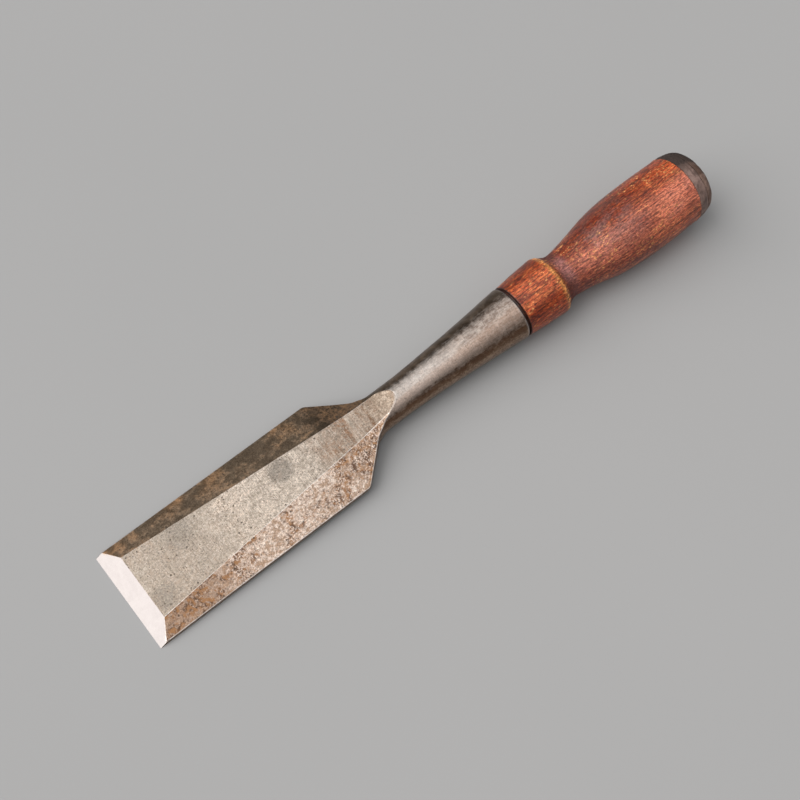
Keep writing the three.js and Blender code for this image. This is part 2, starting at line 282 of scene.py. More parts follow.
class Graph:
    """A material's node tree, written as short calls that return sockets."""

    def __init__(self, name):
        self.material = bpy.data.materials.new(name)
        self.material.use_nodes = True
        self.tree = self.material.node_tree
        self.tree.nodes.clear()
        self.output = self.tree.nodes.new("ShaderNodeOutputMaterial")
        self.object_coords = self.tree.nodes.new("ShaderNodeTexCoord").outputs["Object"]

    def node(self, kind, **inputs):
        made = self.tree.nodes.new("ShaderNode" + kind)
        for key, value in inputs.items():
            self.feed(made.inputs[key.replace("_", " ")], value)
        return made

    def feed(self, socket, value):
        if isinstance(value, bpy.types.NodeSocket):
            self.tree.links.new(value, socket)
        elif isinstance(value, (int, float)):
            socket.default_value = value
        else:
            value = tuple(value)
            if len(value) == 3 and socket.type == "RGBA":
                value += (1.0,)
            socket.default_value = value

    def math(self, operation, a, b=0.0, clamp=False):
        made = self.tree.nodes.new("ShaderNodeMath")
        made.operation = operation
        made.use_clamp = clamp
        self.feed(made.inputs[0], a)
        self.feed(made.inputs[1], b)
        return made.outputs[0]

    def add(self, a, b):
        return self.math("ADD", a, b)

    def mul(self, a, b):
        return self.math("MULTIPLY", a, b)

    def invert(self, a):
        return self.math("SUBTRACT", 1.0, a, clamp=True)

    def centred(self, value):
        return self.math("SUBTRACT", value, 0.5)

    def length(self, a, b):
        return self.math("SQRT", self.add(self.mul(a, a), self.mul(b, b)))

    def split(self, vector):
        made = self.node("SeparateXYZ", Vector=vector)
        return made.outputs[0], made.outputs[1], made.outputs[2]

    def gray(self, value):
        return self.node("CombineXYZ", X=value, Y=value, Z=value).outputs[0]

    def stretch(self, scale, shift=(0, 0, 0)):
        """The object's coordinates scaled along each axis and then shifted."""
        return self.node("Mapping", Vector=self.object_coords, Scale=scale, Location=shift).outputs[0]

    def noise(self, vector, scale, detail=3.0, rough=0.55, distort=0.0):
        made = self.node(
            "TexNoise", Vector=vector, Scale=scale, Detail=detail, Roughness=rough, Distortion=distort
        )
        return made.outputs["Fac"]

    def cells(self, vector, scale):
        return self.node("TexVoronoi", Vector=vector, Scale=scale).outputs["Distance"]

    def specks(self, vector, scale, size, chance):
        """Scattered round specks: a share of the cells of a size hold one, of random radius."""
        made = self.node("TexVoronoi", Vector=vector, Scale=scale)
        pick = self.split(made.outputs["Color"])[0]
        radius = self.step(pick, 1 - chance, 1.0, 0.0, size)
        return self.step(made.outputs["Distance"], radius, self.mul(radius, 0.5))

    def step(self, value, low, high, to_low=0.0, to_high=1.0):
        """A smooth step of a value from low to high."""
        made = self.tree.nodes.new("ShaderNodeMapRange")
        made.interpolation_type = "SMOOTHSTEP"
        for i, v in enumerate((value, low, high, to_low, to_high)):
            self.feed(made.inputs[i], v)
        return made.outputs[0]

    def mix(self, share, a, b, mode="MIX"):
        made = self.tree.nodes.new("ShaderNodeMix")
        made.data_type = "RGBA"
        made.blend_type = mode
        self.feed(made.inputs[0], share)
        self.feed(made.inputs[6], a)
        self.feed(made.inputs[7], b)
        return made.outputs[2]

    def blend(self, share, a, b):
        made = self.tree.nodes.new("ShaderNodeMix")
        made.data_type = "FLOAT"
        self.feed(made.inputs[0], share)
        self.feed(made.inputs[2], a)
        self.feed(made.inputs[3], b)
        return made.outputs[0]

    def attribute(self, name):
        made = self.tree.nodes.new("ShaderNodeAttribute")
        made.attribute_name = name
        return made.outputs["Fac"]

    def bump(self, height, distance, strength):
        return self.node("Bump", Height=height, Distance=distance, Strength=strength).outputs[0]

    def finish(self, **inputs):
        shader = self.tree.nodes.new("ShaderNodeBsdfPrincipled")
        for key, value in inputs.items():
            self.feed(shader.inputs[key.replace("_", " ")], value)
        self.tree.links.new(shader.outputs[0], self.output.inputs[0])
        return self.material


# ---- Meshes ----


def field(points, scale, octaves, seed):
    """Fractal noise in about -1 to 1 at points in millimetres, with features of about 1 / scale."""
    shift = Vector((seed * 17.3, seed * 5.1, seed * 9.7))
    values = [
        noise.fractal(Vector(p) * scale + shift, 1.0, 2.0, octaves, noise_basis="PERLIN_ORIGINAL")
        for p in points
    ]
    return np.array(values)


def grid_normals(grid):
    """Unit normals of a grid of points whose second index goes round."""
    along = np.gradient(grid, axis=0)
    around = np.roll(grid, -1, axis=1) - np.roll(grid, 1, axis=1)
    normals = np.cross(around, along)
    return normals / np.maximum(np.linalg.norm(normals, axis=2, keepdims=True), 1e-12)


def grid_object(name, grid, place, capped=True, attributes=None):
    """A closed mesh from rings of points in millimetres. Rings run along +X and go round from +Y to +Z."""
    rings, around = grid.shape[:2]
    index = np.arange(rings * around).reshape(rings, around)
    a = index[:-1]
    b = np.roll(index, -1, axis=1)[:-1]
    c = np.roll(index, -1, axis=1)[1:]
    d = index[1:]
    quads = np.stack([a, d, c, b], axis=-1).reshape(-1, 4)
    points = grid.reshape(-1, 3)
    extra = []
    triangles = []
    for ring, order in ((index[0], 1), (index[-1], -1)) if capped else ():
        hub = len(points) + len(extra)
        extra.append(points[ring].mean(axis=0))
        for i, j in zip(ring, np.roll(ring, -1)):
            triangles.append((hub, i, j)[::order])
    if extra:
        points = np.vstack([points, extra])
    mesh = bpy.data.meshes.new(name)
    faces = quads.tolist() + [list(map(int, corners)) for corners in triangles]
    mesh.from_pydata((points * MM).tolist(), [], faces)
    for key, values in (attributes or {}).items():
        made = mesh.attributes.new(key, "FLOAT", "POINT")
        full = np.concatenate([values.reshape(-1), np.zeros(len(extra))])
        made.data.foreach_set("value", full.astype(np.float32))
    mesh.validate()
    mesh.polygons.foreach_set("use_smooth", [True] * len(mesh.polygons))
    thing = bpy.data.objects.new(name, mesh)
    bpy.context.scene.collection.objects.link(thing)
    thing.matrix_world = place
    return thing


# ---- Blade, neck and socket ----


def axis_height(x):
    return AXIS_HEIGHT + math.tan(AXIS_TILT) * x


def centre_height(x):
    """The height about which a section's points are spread: half way up the wedge near the cutting edge."""
    return np.minimum(axis_height(x), EDGE_SLOPE * x / 2)


def runout(x):
    return np.maximum(x - RUNOUT_AT, 0) ** 2 / (2 * RUNOUT_RADIUS)


def land_height(x):
    return HEEL_THICKNESS + THICKNESS_GAIN * (x - HEEL_AT) + runout(x)


def land_half_width(x):
    return (HEEL_LAND_WIDTH - LAND_NARROWING * (x - HEEL_AT)) / 2


def slab_half_width(x):
    past = soft_max(x - SHOULDER_AT, 0, SHOULDER_ROUNDING)
    return np.maximum(HALF_WIDTH - SHOULDER_SLOPE * past, 0)


def neck_radius(x):
    growing = NECK_RADIUS * smoothstep((x - NECK_FROM) / (NECK_FULL - NECK_FROM))
    along = np.clip((x - CONE_FROM) / (RIM_AT - CONE_FROM), 0, 1)
    cone = NECK_RADIUS + (RIM_RADIUS - NECK_RADIUS) * along**CONE_POWER
    return np.where(x < NECK_FULL, growing, cone)


def plane_reach(height, fall, x, angle):
    """Reach from the centre to a face that stands at a height over the middle and falls off sideways."""
    across = -np.cos(angle) + fall * np.sin(angle)
    return np.where(across > 1e-6, (height - centre_height(x)) / np.maximum(across, 1e-6), 1e3)


def blank_reach(x, angle):
    side = slab_half_width(x) / np.maximum(np.sin(angle), 1e-6)
    down = np.cos(angle)
    back = np.where(down > 1e-6, centre_height(x) / np.maximum(down, 1e-6), 1e3)
    slab = np.minimum(soft_min(side, back, BACK_EDGE_ROUNDING), BLADE_WIDTH)
    slab = np.where(slab_half_width(x) > 0, slab, 0)
    neck = neck_radius(x)
    return np.where(neck > 0, soft_max(slab, neck, NECK_FILLET), slab)


def bevel_reach(x, angle):
    land = land_half_width(x)
    fall = (land_height(x) - runout(x) - SIDE_WALL) / (HALF_WIDTH - land)
    return plane_reach(land_height(x) + fall * land, fall, x, angle)


def land_reach(x, angle):
    return plane_reach(land_height(x), 0.0, x, angle)


def honed_reach(x, angle):
    return plane_reach(EDGE_SLOPE * x, 0.0, x, angle)


def crossing(low, high, test):
    """The angles between low and high where a test of the angle changes sign, for all stations at once."""
    below = test(low) < 0
    for _ in range(36):
        middle = (low + high) / 2
        same = (test(middle) < 0) == below
        low = np.where(same, middle, low)
        high = np.where(same, high, middle)
    return (low + high) / 2


def arris_angles(x):
    """The angles of the back's corner, the top of the wall and the land's edge at each station."""
    back_corner = np.arctan2(slab_half_width(x), centre_height(x))
    upper = lambda a: np.minimum(land_reach(x, a), honed_reach(x, a))
    land_edge = crossing(
        np.full_like(x, UP / 2),
        np.full_like(x, UP - LEAST_STRIP),
        lambda a: upper(a) - np.minimum(bevel_reach(x, a), blank_reach(x, a)),
    )
    wall_top = crossing(back_corner, land_edge, lambda a: bevel_reach(x, a) - blank_reach(x, a))
    strip = np.minimum(LEAST_STRIP, (land_edge - back_corner) * 0.3)
    wall_top = np.minimum(wall_top, land_edge - strip)
    neck_fade = smoothstep((x - NECK_FADE_FROM) / ARRIS_FADE)
    cone_fade = smoothstep((x - CONE_FADE_FROM) / ARRIS_FADE)
    return [
        mix(back_corner, ARRIS_SHARES[0] * UP, neck_fade),
        mix(wall_top, ARRIS_SHARES[1] * UP, neck_fade),
        mix(land_edge, ARRIS_SHARES[2] * UP, cone_fade),
    ]


def section_angles(x, counts):
    """Angles round each station's section, from straight down over +Y to straight up and back over -Y."""
    corners = [np.zeros_like(x), *arris_angles(x), np.full_like(x, UP)]
    half = [
        mix(low, high, eased(count)[None, :])
        for low, high, count in zip(corners, corners[1:], counts)
    ]
    half = np.concatenate([*half, np.full_like(x, UP)], axis=1)
    return np.concatenate([half, -half[:, -2:0:-1]], axis=1)


STEEL_COUNTS = (36, 14, 34, 36)  # points along the back, wall, bevel and land of half a section


def steel_rings():
    """The outside of the forging, station by station, with what each point lies on."""
    stations = np.concatenate([
        mix(CUTTING_EDGE_AT, HEEL_AT, eased(26)),
        mix(HEEL_AT, SHOULDER_AT, eased(180)),
        mix(SHOULDER_AT, CONE_FROM, np.arange(96) / 96),
        mix(CONE_FROM, RIM_AT - RIM_ROUNDING, np.arange(100) / 100),
        mix(RIM_AT - RIM_ROUNDING, RIM_AT, np.sin(np.arange(7) / 6 * UP / 2)),
    ])
    x = stations[:, None]
    angles = section_angles(x, STEEL_COUNTS)
    a = np.abs(angles)
    blank = blank_reach(x, a)
    bevel = bevel_reach(x, a)
    land = land_reach(x, a)
    honed = honed_reach(x, a)
    worn = ARRIS_WEAR + ARRIS_WAVES * np.sin(x * 0.9) * np.sin(x * 0.23 + angles)
    faces = soft_min(land, honed, HEEL_WEAR)
    faces = soft_min(faces, bevel, worn)
    reach = soft_min(faces, blank, worn * WALL_WEAR)
    into_rim = np.clip(x - (RIM_AT - RIM_ROUNDING), 0, RIM_ROUNDING)
    reach = reach - (RIM_ROUNDING - np.sqrt(np.maximum(RIM_ROUNDING**2 - into_rim**2, 0)))
    lean = math.tan(AXIS_TILT) * smoothstep((x - NECK_FULL) / (CONE_FROM - NECK_FULL))
    up = -reach * np.cos(a)
    grid = np.stack([x - up * lean, reach * np.sin(angles), centre_height(x) + up], axis=-1)

    top = np.minimum(land, honed)
    cut = np.minimum(top, bevel)
    ground = (cut < blank + TOUCHING).astype(float)
    is_honed = ((honed < land) & (honed < bevel) & (honed < blank + TOUCHING)).astype(float)
    shallow = 1 - smoothstep(np.abs(top - bevel) / BEVEL_ARRIS_WIDTH)
    steep = 1 - smoothstep(np.abs(cut - blank) / WALL_ARRIS_WIDTH)
    near_rim = RIM_BRIGHTNESS * smoothstep((x - RIM_AT + 0.7) / 0.5)
    tip = smoothstep((x - LAND_TIP_AT) / LAND_TIP_FADE) * smoothstep((a - 0.6 * UP) / 0.2)
    tip = tip * np.where(angles > 0, 1, 0.8)
    arris = np.maximum(shallow * ground, steep * (x < WALL_ARRIS_END)) * (1 - tip)
    arris = np.maximum(arris, near_rim)
    side = ((bevel < top) & (bevel < blank)).astype(float)
    back = ((blank * np.cos(a) > centre_height(x) - TOUCHING) & (np.cos(a) > 0)).astype(float)
    return grid, {"ground": ground, "honed": is_honed, "arris": arris, "side": side, "back": back}


def bore_rings():
    """The inside of the socket, from its mouth back to the point of its floor."""
    outer, inner = RIM_RADIUS - RIM_ROUNDING, BORE_MOUTH_RADIUS + LIP_CHAMFER
    lip = [(RIM_AT, mix(outer, inner, t)) for t in (0.35, 0.7, 1.0)]
    lip.append((RIM_AT - LIP_CHAMFER, BORE_MOUTH_RADIUS))
    taper = (BORE_MOUTH_RADIUS - BORE_FLOOR_RADIUS) / (RIM_AT - BORE_FLOOR_AT)
    along = np.linspace(RIM_AT - 1.5, BORE_FLOOR_AT, 36)
    wall = [(s, BORE_MOUTH_RADIUS - taper * (RIM_AT - s)) for s in along]
    floor = [
        (mix(BORE_FLOOR_AT, BORE_TIP_AT, t), mix(BORE_FLOOR_RADIUS, BORE_TIP_RADIUS, t))
        for t in (0.3, 0.6, 0.85, 1.0)
    ]
    profile = np.array(lip + wall + floor)
    x = profile[:, :1]
    reach = profile[:, 1:]
    angles = section_angles(np.full_like(x, RIM_AT), STEEL_COUNTS)
    up = -reach * np.cos(angles)
    slope = math.tan(AXIS_TILT)
    return np.stack([x - up * slope, reach * np.sin(angles), axis_height(x) + up], axis=-1)


def make_steel(material):
    outside, marks = steel_rings()
    normals = grid_normals(outside)
    flat = outside.reshape(-1, 3)
    x = flat[:, 0]
    forged = (1 - marks["ground"]).reshape(-1)
    past_neck = smoothstep((x - 120) / 30)
    swell = field(flat, 0.09, 2, 1.0) * FORGED_SWELL * past_neck * forged
    grain = field(flat, 0.8, 3, 2.0) * FORGED_GRAIN * forged * smoothstep((x - 4) / 6)
    waves = field(flat * np.array([1.0, 0.35, 1.0]), 0.25, 2, 3.0) * GRINDING_WAVES
    keep = smoothstep(x / 3.0)
    offset = ((swell + grain + waves) * keep).reshape(outside.shape[:2])
    rim_hold = 1 - smoothstep((outside[:, :, 0] - RIM_AT + 1.5) / 1.2)
    outside = outside + normals * (offset * rim_hold)[:, :, None]
    inside = bore_rings()
    grid = np.concatenate([outside, inside])
    zeros = np.zeros(inside.shape[:2])
    attributes = {key: np.concatenate([value, zeros]) for key, value in marks.items()}
    attributes["bore"] = np.concatenate([np.zeros(outside.shape[:2]), zeros + 1])
    steel = grid_object("chisel_steel", grid, PLACE_BLADE, attributes=attributes)
    steel.data.materials.append(material)
    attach(steel, "steel")
    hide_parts("blade_and_socket")


# ---- Turned pieces ----


def catmull_rom(points, per_span):
    """A smooth curve through points, by the same rule as the CAD model's cove and belly."""
    p = np.array([points[0], *points, points[-1]], float)
    made = []
    for i in range(1, len(p) - 2):
        t = np.arange(per_span)[:, None] / per_span
        before, here, there, after = p[i - 1], p[i], p[i + 1], p[i + 2]
        v0, v1 = (there - before) / 2, (after - here) / 2
        made.append(
            (2 * here - 2 * there + v0 + v1) * t**3
            + (-3 * here + 3 * there - 2 * v0 - v1) * t**2
            + v0 * t
            + here
        )
    return np.concatenate([*made, p[-2:-1]])


def rounded(points, radius, count=5):
    """A profile's corner points, each worn to a small arc where the profile has room for it."""
    p = [np.array(q, float) for q in points]
    made = [p[0]]
    for before, here, after in zip(p, p[1:], p[2:]):
        back = (before - here) / np.linalg.norm(before - here)
        on = (after - here) / np.linalg.norm(after - here)
        room = min(radius, 0.4 * np.linalg.norm(before - here), 0.4 * np.linalg.norm(after - here))
        start, stop = here + back * room, here + on * room
        for t in np.linspace(0, 1, count):
            made.append((1 - t) ** 2 * start + 2 * t * (1 - t) * here + t * t * stop)
    made.append(p[-1])
    return made


def filled(points, longest):
    """A profile with its long stretches cut into shorter ones."""
    made = [np.array(points[0], float)]
    for here in points[1:]:
        here = np.array(here, float)
        parts = max(1, math.ceil(np.linalg.norm(here - made[-1]) / longest))
        start = made[-1]
        made.extend(mix(start, here, (k + 1) / parts) for k in range(parts))
    return np.array(made)


def turned_grid(profile, around):
    """Rings of a turned piece about +X from a profile of [along, radius]."""
    profile = np.array(profile)
    turn = np.arange(around) / around * 2 * np.pi
    along, radius = profile[:, :1], profile[:, 1:]
    return np.stack([along + 0 * turn, radius * np.sin(turn), -radius * np.cos(turn)], axis=-1)


def bore_radius(along):
    return mix(BORE_FLOOR_RADIUS, BORE_MOUTH_RADIUS, (along - BORE_FLOOR_AT) / (RIM_AT - BORE_FLOOR_AT))


def handle_profile():
    shoulder = RIM_AT + SHOULDER_GAP
    cap = HANDLE_END_AT + 2 * WASHER_THICKNESS - TENON_RECESS
    collar_start = (COLLAR_AT - 1.2, COLLAR_RADIUS - 0.1)
    collar_end = (COLLAR_AT + 1, COLLAR_RADIUS - 0.15)
    tenon = [
        (TENON_TIP_AT, 0.05),
        (TENON_TIP_AT, bore_radius(TENON_TIP_AT) - FIT_GAP),
        (shoulder, bore_radius(shoulder) - FIT_GAP),
        (shoulder, HANDLE_SHOULDER_RADIUS),
        (mix(shoulder, COLLAR_AT, 0.45), COLLAR_SWELL_RADIUS),
        collar_start,
    ]
    crest = [collar_start, (COLLAR_AT, COLLAR_RADIUS), collar_end]
    cove = catmull_rom(
        [
            collar_end,
            *((COLLAR_AT + past, radius) for past, radius in COLLAR_EDGE),
            (WAIST_AT, WAIST_RADIUS),
            *((mix(WAIST_AT, BELLY_AT, share), radius) for share, radius in BELLY_SWELL),
            (BELLY_AT, BELLY_RADIUS),
            (HANDLE_END_AT - 0.4, HANDLE_END_RADIUS),
        ],
        22,
    )
    end = [
        tuple(cove[-2]),
        (HANDLE_END_AT, HANDLE_END_RADIUS),
        (HANDLE_END_AT, WASHER_TENON_RADIUS),
        (cap, WASHER_TENON_RADIUS),
        (cap, 0.05),
    ]
    collar = catmull_rom(crest, 6)[1:-1].tolist()
    profile = rounded(tenon, WOOD_CORNER) + collar + cove.tolist() + rounded(end, WOOD_END_CORNER)[1:]
    return filled(profile, 0.7)


def make_handle(wood):
    grid = turned_grid(handle_profile(), 220)
    normals = grid_normals(grid)
    flat = grid.reshape(-1, 3)
    x = flat[:, 0]
    swell = field(flat * np.array([0.4, 1, 1]), 0.07, 2, 5.0) * WOOD_SWELL
    dents = np.minimum(field(flat, 0.16, 2, 6.0) + 0.35, 0) * WOOD_DENTS
    ribs = field(flat * np.array([0.05, 1, 1]), 1.1, 2, 7.0) * WOOD_RIBS
    at_collar = np.exp(-(((x - COLLAR_AT - 1.3) / 1.25) ** 2))
    chips = -np.maximum(field(flat, 0.5, 3, 8.0), 0) * COLLAR_CHIPS * at_collar
    outside = smoothstep((x - RIM_AT - SHOULDER_GAP - 0.5) / 1.0)
    before_end = 1 - smoothstep((x - HANDLE_END_AT + 1.5) / 1.2)
    offset = (swell + dents + ribs + chips - WOOD_SHRINKING) * outside * before_end
    inwards = np.minimum(offset, 0).reshape(grid.shape[:2])
    grid = grid + normals * inwards[:, :, None]
    marks = {"collar": at_collar}
    handle = grid_object("chisel_handle", grid, PLACE_AXIS, attributes=marks)
    handle.data.materials.append(wood)
    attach(handle, "grip")
    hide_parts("handle")


def make_washer(name, node, profile, material, seed):
    loop = filled(rounded(profile, LEATHER_CORNER, 4), 0.35)
    grid = turned_grid(loop, 200)
    normals = grid_normals(grid)
    flat = grid.reshape(-1, 3)
    radius = np.hypot(flat[:, 1], flat[:, 2])
    outer = smoothstep((radius - WASHER_TENON_RADIUS - 1) / 1.5)
    lumps = field(flat, 0.22, 2, seed) * LEATHER_LUMPS
    creases = -np.abs(field(flat * np.array([2.2, 1, 1]), 0.5, 3, seed + 1)) * LEATHER_CREASES
    offset = np.clip((lumps + creases) * outer, -0.45, 0.1).reshape(grid.shape[:2])
    grid = grid + normals * offset[:, :, None]
    washer = grid_object(name, grid, PLACE_AXIS, capped=False)
    close_ring(washer.data)
    washer.data.materials.append(material)
    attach(washer, "grip")
    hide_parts(node)


def close_ring(mesh):
    """Joins the last ring to the first, which lie in one place."""
    bm = bmesh.new()
    bm.from_mesh(mesh)
    bmesh.ops.remove_doubles(bm, verts=bm.verts, dist=1e-6)
    bmesh.ops.recalc_face_normals(bm, faces=bm.faces)
    bm.to_mesh(mesh)
    bm.free()
    mesh.polygons.foreach_set("use_smooth", [True] * len(mesh.polygons))


def make_washers(dark, brown):
    hole = WASHER_TENON_RADIUS + FIT_GAP
    seam = HANDLE_END_AT + WASHER_THICKNESS
    end = HANDLE_END_AT + 2 * WASHER_THICKNESS
    inner = HANDLE_END_AT + LEATHER_SEAM
    middle = mix(HANDLE_END_RADIUS, WASHER_SEAM_RADIUS, 0.5)
    make_washer(
        "leather_inner", "leather_washer_inner",
        [
            (inner, hole),
            (inner, HANDLE_END_RADIUS - 0.05),
            (mix(inner, seam, 0.5), middle + LEATHER_BULGE),
            (seam, WASHER_SEAM_RADIUS + 0.1),
            (seam, hole),
            (inner, hole),
        ],
        dark, 11.0,
    )
    start = seam + LEATHER_SEAM
    edge = [
        (
            start + (end - start) * math.sin(UP / 2 * t),
            CAP_FLAT_RADIUS + (WASHER_SEAM_RADIUS - CAP_FLAT_RADIUS) * math.cos(UP / 2 * t),
        )
        for t in np.linspace(0, 1, 9)
    ]
    make_washer(
        "leather_outer", "leather_washer_outer",
        [(start, hole), *edge, (end, hole), (start, hole)],
        brown, 21.0,
    )


# ---- Materials ----

# Colours are linear. Positions are in metres along each piece's own axes.

# Gray smudges on the land: along, across, reach and strength.
SMUDGES = ((0.0865, 0.0045, 0.0085, 0.6), (0.014, -0.010, 0.009, 0.45), (0.034, 0.010, 0.011, 0.35))


def steel_material():
    g = Graph("old_ground_steel")
    p = g.object_coords
    x, y, z = g.split(p)
    ground, honed, arris = g.attribute("ground"), g.attribute("honed"), g.attribute("arris")
    side, back, bore = g.attribute("side"), g.attribute("back"), g.attribute("bore")
    left = g.step(y, -0.001, 0.001)
    land_at_edge = (HEEL_LAND_WIDTH + LAND_NARROWING * HEEL_AT) / 2 * MM
    land_half = g.math("SUBTRACT", land_at_edge, g.mul(x, LAND_NARROWING / 2))
    outward = g.step(g.math("ABSOLUTE", y), land_half, HALF_WIDTH * MM)

    patch = g.noise(p, 55, 4, 0.6)
    cloud = g.noise(p, 230, 4, 0.65)
    tide = g.noise(p, 430, 5, 0.7, 0.3)
    mottle = g.noise(p, 900, 4, 0.75)
    grit = g.noise(p, 2100, 2, 0.7)
    strokes = g.noise(g.stretch((330, 45, 45)), 1.0, 3, 0.6)
    across = g.noise(g.stretch((2300, 170, 170)), 1.0, 3, 0.6)
    along = g.noise(g.stretch((90, 1300, 1300)), 1.0, 4, 0.65)
    dots = g.specks(p, 1050, 0.44, 0.55)
    flecks = g.specks(g.stretch((1, 1, 1), shift=(0.4, 0.2, 0.1)), 560, 0.36, 0.40)
    wander = g.mul(g.centred(patch), 0.05)
    pepper = g.step(g.add(g.mul(mottle, 0.5), g.mul(grit, 0.5)), 0.53, 0.44)

    # The land: gray steel under a thin warm film, cross-ground, turning brown by the neck, with gray smudges,
    # and darker towards the cutting edge; painted shade darkens the tongue where it rises into the neck.
    land = g.mix(g.step(g.add(x, wander), 0.03, 0.075), (0.45, 0.392, 0.335), (0.78, 0.675, 0.58))
    land = g.mix(g.step(cloud, 0.56, 0.38, 0, 0.40), land, (0.33, 0.275, 0.22))
    scores = g.mul(g.step(across, 0.50, 0.60), g.step(strokes, 0.35, 0.6, 0.15, 0.5))
    land = g.mix(scores, land, (0.20, 0.15, 0.11))
    by_neck = g.mul(g.step(g.add(x, wander), 0.092, 0.116), g.step(x, 0.142, 0.132))
    browned = g.mul(by_neck, g.mul(g.step(strokes, 0.34, 0.56), g.step(mottle, 0.40, 0.56, 0.25, 1)))
    land = g.mix(g.mul(browned, 0.9), land, (0.29, 0.15, 0.08))
    # Painted shade: the land darkened over the tongue, where it rises into the neck.
    land = g.mix(g.step(x, 0.118, 0.134, 0, 0.95), land, (0.36, 0.335, 0.315), "MULTIPLY")
    land = g.mix(g.step(x, 0.128, 0.142, 0, 0.9), land, (0.62, 0.58, 0.55), "MULTIPLY")
    land = g.mix(g.mul(pepper, 0.5), land, (0.25, 0.20, 0.15))
    land = g.mix(g.step(tide, 0.52, 0.38, 0, 0.6), land, (0.33, 0.27, 0.215))
    for at_x, at_y, reach, share in SMUDGES:
        spot = g.stretch((1 / reach, 1 / reach, 0), shift=(-at_x / reach, -at_y / reach, 0))
        smudge = g.node("TexGradient", Vector=spot)
        smudge.gradient_type = "SPHERICAL"
        smudge = g.add(smudge.outputs[1], g.mul(g.centred(cloud), 1.2))
        land = g.mix(g.step(smudge, 0.12, 0.55, 0, share), land, (0.20, 0.18, 0.155))

    # The side bevels: brown on the left, with orange rust outwards, and pale on the right past the edge;
    # painted shade darkens the left towards the shoulder.
    right_tone = g.mix(g.step(g.add(x, wander), 0.025, 0.06), (0.47, 0.35, 0.275), (0.95, 0.79, 0.68))
    stains = g.add(g.mul(tide, 0.5), g.add(g.mul(cloud, 0.3), g.mul(patch, 0.2)))
    right_tone = g.mix(g.step(stains, 0.51, 0.43, 0, 0.8), right_tone, (0.44, 0.28, 0.18))
    right_tone = g.mix(g.mul(pepper, 0.52), right_tone, (0.29, 0.17, 0.105))
    left_tone = g.mix(g.step(cloud, 0.36, 0.62), (0.29, 0.215, 0.15), (0.40, 0.30, 0.21))
    left_tone = g.mix(g.mul(outward, g.step(patch, 0.40, 0.60, 0, 0.7)), left_tone, (0.48, 0.265, 0.125))
    # Painted shade: the left bevel darkened towards the shoulder.
    left_tone = g.mix(g.step(x, 0.102, 0.118, 0, 0.9), left_tone, (0.095, 0.07, 0.05))
    left_tone = g.mix(g.step(tide, 0.50, 0.38, 0, 0.35), left_tone, (0.17, 0.12, 0.08))
    left_tone = g.mix(g.mul(pepper, 0.5), left_tone, (0.17, 0.115, 0.07))
    surface = g.mix(side, land, g.mix(left, right_tone, left_tone))

    # The forged skin of the walls, neck and socket, lighter on top: worn by handling and a painted highlight,
    # brightest by the neck. Painted light makes it paler down the -Y side, with a dark brown band along the
    # edge of the lighter top.
    height = g.math("SUBTRACT", z, g.add(g.mul(x, math.tan(AXIS_TILT)), AXIS_HEIGHT * MM))
    girth = g.math("MAXIMUM", g.length(y, height), 0.001)
    facing = g.add(g.mul(height, 0.956), g.mul(y, -0.292))
    facing = g.add(g.math("DIVIDE", facing, girth), g.mul(g.centred(along), 0.2))
    facing = g.add(facing, g.mul(g.centred(tide), 0.3))
    # Painted highlight: a lighter top, partly worn by handling, placed where the socket catches the light.
    rubbed_and_highlit = g.step(facing, 0.70, 0.92)
    skin = g.mix(g.step(cloud, 0.3, 0.7), (0.10, 0.068, 0.046), (0.21, 0.16, 0.12))
    # Painted light: the skin paler and browner down the -Y side.
    lit_minus_y_skin = g.mix(g.step(mottle, 0.38, 0.6), (0.20, 0.115, 0.065), (0.52, 0.36, 0.255))
    skin = g.mix(g.step(y, 0.0, -0.006, 0, 0.6), skin, lit_minus_y_skin)
    streaks = g.add(g.mul(tide, 0.6), g.mul(along, 0.4))
    worn_highlight_tone = g.mix(g.step(streaks, 0.38, 0.6), (0.27, 0.20, 0.165), (0.62, 0.53, 0.47))
    # Painted highlight: brightest by the neck.
    worn_highlight_tone = g.mix(g.step(x, 0.20, 0.155, 0, 0.6), worn_highlight_tone, (0.82, 0.76, 0.71))
    worn_highlight_tone = g.mix(g.step(g.add(y, g.mul(along, 0.004)), 0.0005, -0.003, 0, 0.5), worn_highlight_tone, (0.62, 0.42, 0.32))
    worn_highlight_tone = g.mix(g.mul(pepper, 0.25), worn_highlight_tone, (0.30, 0.22, 0.17))
    skin = g.mix(rubbed_and_highlit, skin, worn_highlight_tone)
    edge = g.mul(g.step(facing, 0.46, 0.62), g.step(facing, 0.86, 0.74))
    edge = g.mul(g.mul(edge, g.step(y, -0.001, -0.004)), g.step(cloud, 0.36, 0.56, 0.35, 0.9))
    skin = g.mix(edge, skin, (0.12, 0.062, 0.036))
    surface = g.mix(ground, skin, surface)

    # The flat back, lapped brighter near the cutting edge.
    lapped = g.step(g.add(x, wander), 0.050, 0.012)
    back_tone = g.mix(g.step(cloud, 0.3, 0.65), (0.31, 0.25, 0.20), (0.41, 0.345, 0.285))
    back_tone = g.mix(g.step(along, 0.46, 0.62, 0, 0.45), back_tone, (0.52, 0.46, 0.40))
    back_tone = g.mix(g.mul(lapped, 0.85), back_tone, (0.62, 0.60, 0.58))
    surface = g.mix(back, surface, back_tone)

    # Fine mottling over everything but the honed bevel.
    shade = g.step(g.noise(p, 1350, 2, 0.6), 0.34, 0.66, 0.78, 1.20)
    shade = g.blend(g.add(honed, g.mul(g.invert(ground), 0.5)), shade, 1.03)
    surface = g.mix(1.0, surface, g.gray(shade), "MULTIPLY")

